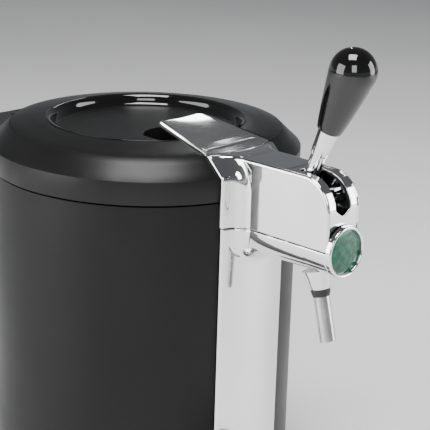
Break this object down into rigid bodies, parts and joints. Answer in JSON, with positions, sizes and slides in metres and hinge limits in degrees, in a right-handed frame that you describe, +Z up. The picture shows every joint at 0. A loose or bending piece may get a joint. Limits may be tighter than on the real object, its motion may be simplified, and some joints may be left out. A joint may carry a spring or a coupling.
{
  "type": "mini keg beer dispenser",
  "caption": "Counter-top cooled beer dispenser for a five-litre keg: black drum with hinged lid, chrome column and tap head, lever, spout, and drip tray.",
  "frame": {"origin": "middle of the footprint's bounding box, on the counter", "axes": "+Z up, -Y out of the front over the drip tray, +X to the right seen from the front"},
  "size_m": [0.2744, 0.465, 0.4587],
  "materials": {
    "satin_black": "satin",
    "lid_black": "satin",
    "gloss_black": "gloss",
    "black_plastic": "matte",
    "chrome": "polished",
    "steel": "brushed",
    "aluminium": "satin",
    "foam": "matte",
    "rubber": "matte",
    "tube": "clear",
    "badge_green": "gloss",
    "ceramic_white": "matte",
    "board_green": "matte"
  },
  "bodies": {
    "root": {"base_moulding": "black_plastic", "rubber_feet": "rubber", "base_screws": "steel", "outer_shell": "satin_black", "insulation_jacket": "foam", "insulation_floor": "foam", "keg_liner": "aluminium", "top_rim": "black_plastic", "rim_gasket": "rubber", "column_and_arm": "chrome", "spout_neck": "chrome", "spout_collar": "rubber", "spout_nozzle": "steel", "beer_line": "tube", "keg_connector": "black_plastic", "pinch_anvil": "rubber", "badge_ring": "chrome", "badge_face": "badge_green", "latch_strike": "black_plastic", "rear_housing": "black_plastic", "lid_hinge_pin": "steel", "switch_frame": "black_plastic", "power_inlet": "black_plastic", "cold_bridge": "aluminium", "peltier_module": "ceramic_white", "heat_sink": "aluminium", "fan_frame": "black_plastic", "control_board": "board_green", "temperature_sensor": "board_green", "housing_screws": "steel"},
    "lid": {"lid_shell": "lid_black", "lid_skirt": "lid_black", "lid_panel": "lid_black", "lid_inner": "lid_black", "lid_insulation": "foam", "lid_screws": "steel", "recess_ring": "gloss_black", "handle_pin": "steel"},
    "flap": {"lid_handle": "chrome", "latch_hook": "black_plastic"},
    "cover": {"tap_cover": "chrome", "lever_pivot_pin": "steel", "slot_liner": "black_plastic"},
    "lever": {"lever_stem": "chrome", "lever_ferrule": "chrome", "lever_knob": "gloss_black"},
    "tray": {"drip_tray": "black_plastic"},
    "grid": {"drip_grid": "steel"},
    "rocker": {"power_rocker": "black_plastic"},
    "fan": {"fan_rotor": "black_plastic"}
  },
  "joints": [
    {"name": "lid_hinge", "type": "hinge", "parent": "root", "child": "lid", "pos_m": [0, 0.20947, 0.33], "axis": [-1, 0, 0], "range_deg": [0, 92]},
    {"name": "handle_hinge", "type": "hinge", "parent": "lid", "child": "flap", "pos_m": [0, -0.04453, 0.353], "axis": [1, 0, 0], "range_deg": [0, 40], "stiffness_Nm_per_rad": 0.12, "springref_deg": -22.92},
    {"name": "cover_lift", "type": "slide", "parent": "root", "child": "cover", "axis": [0, 0, 1], "range_m": [0, 0.07]},
    {"name": "lever_hinge", "type": "hinge", "parent": "cover", "child": "lever", "pos_m": [0, -0.12613, 0.329], "axis": [1, 0, 0], "range_deg": [0, 45], "stiffness_Nm_per_rad": 0.5, "springref_deg": -34.38},
    {"name": "tray_slide", "type": "slide", "parent": "root", "child": "tray", "axis": [0, -1, 0], "range_m": [0, 0.15]},
    {"name": "grid_lift", "type": "slide", "parent": "tray", "child": "grid", "axis": [0, 0, 1], "range_m": [0, 0.06]},
    {"name": "power_switch", "type": "hinge", "parent": "root", "child": "rocker", "pos_m": [0, 0.22447, 0.092], "axis": [1, 0, 0], "range_deg": [0, 16]},
    {"name": "fan_spin", "type": "hinge", "parent": "root", "child": "fan", "pos_m": [0, 0.21447, 0.172], "axis": [0, 1, 0], "continuous": true}
  ]
}
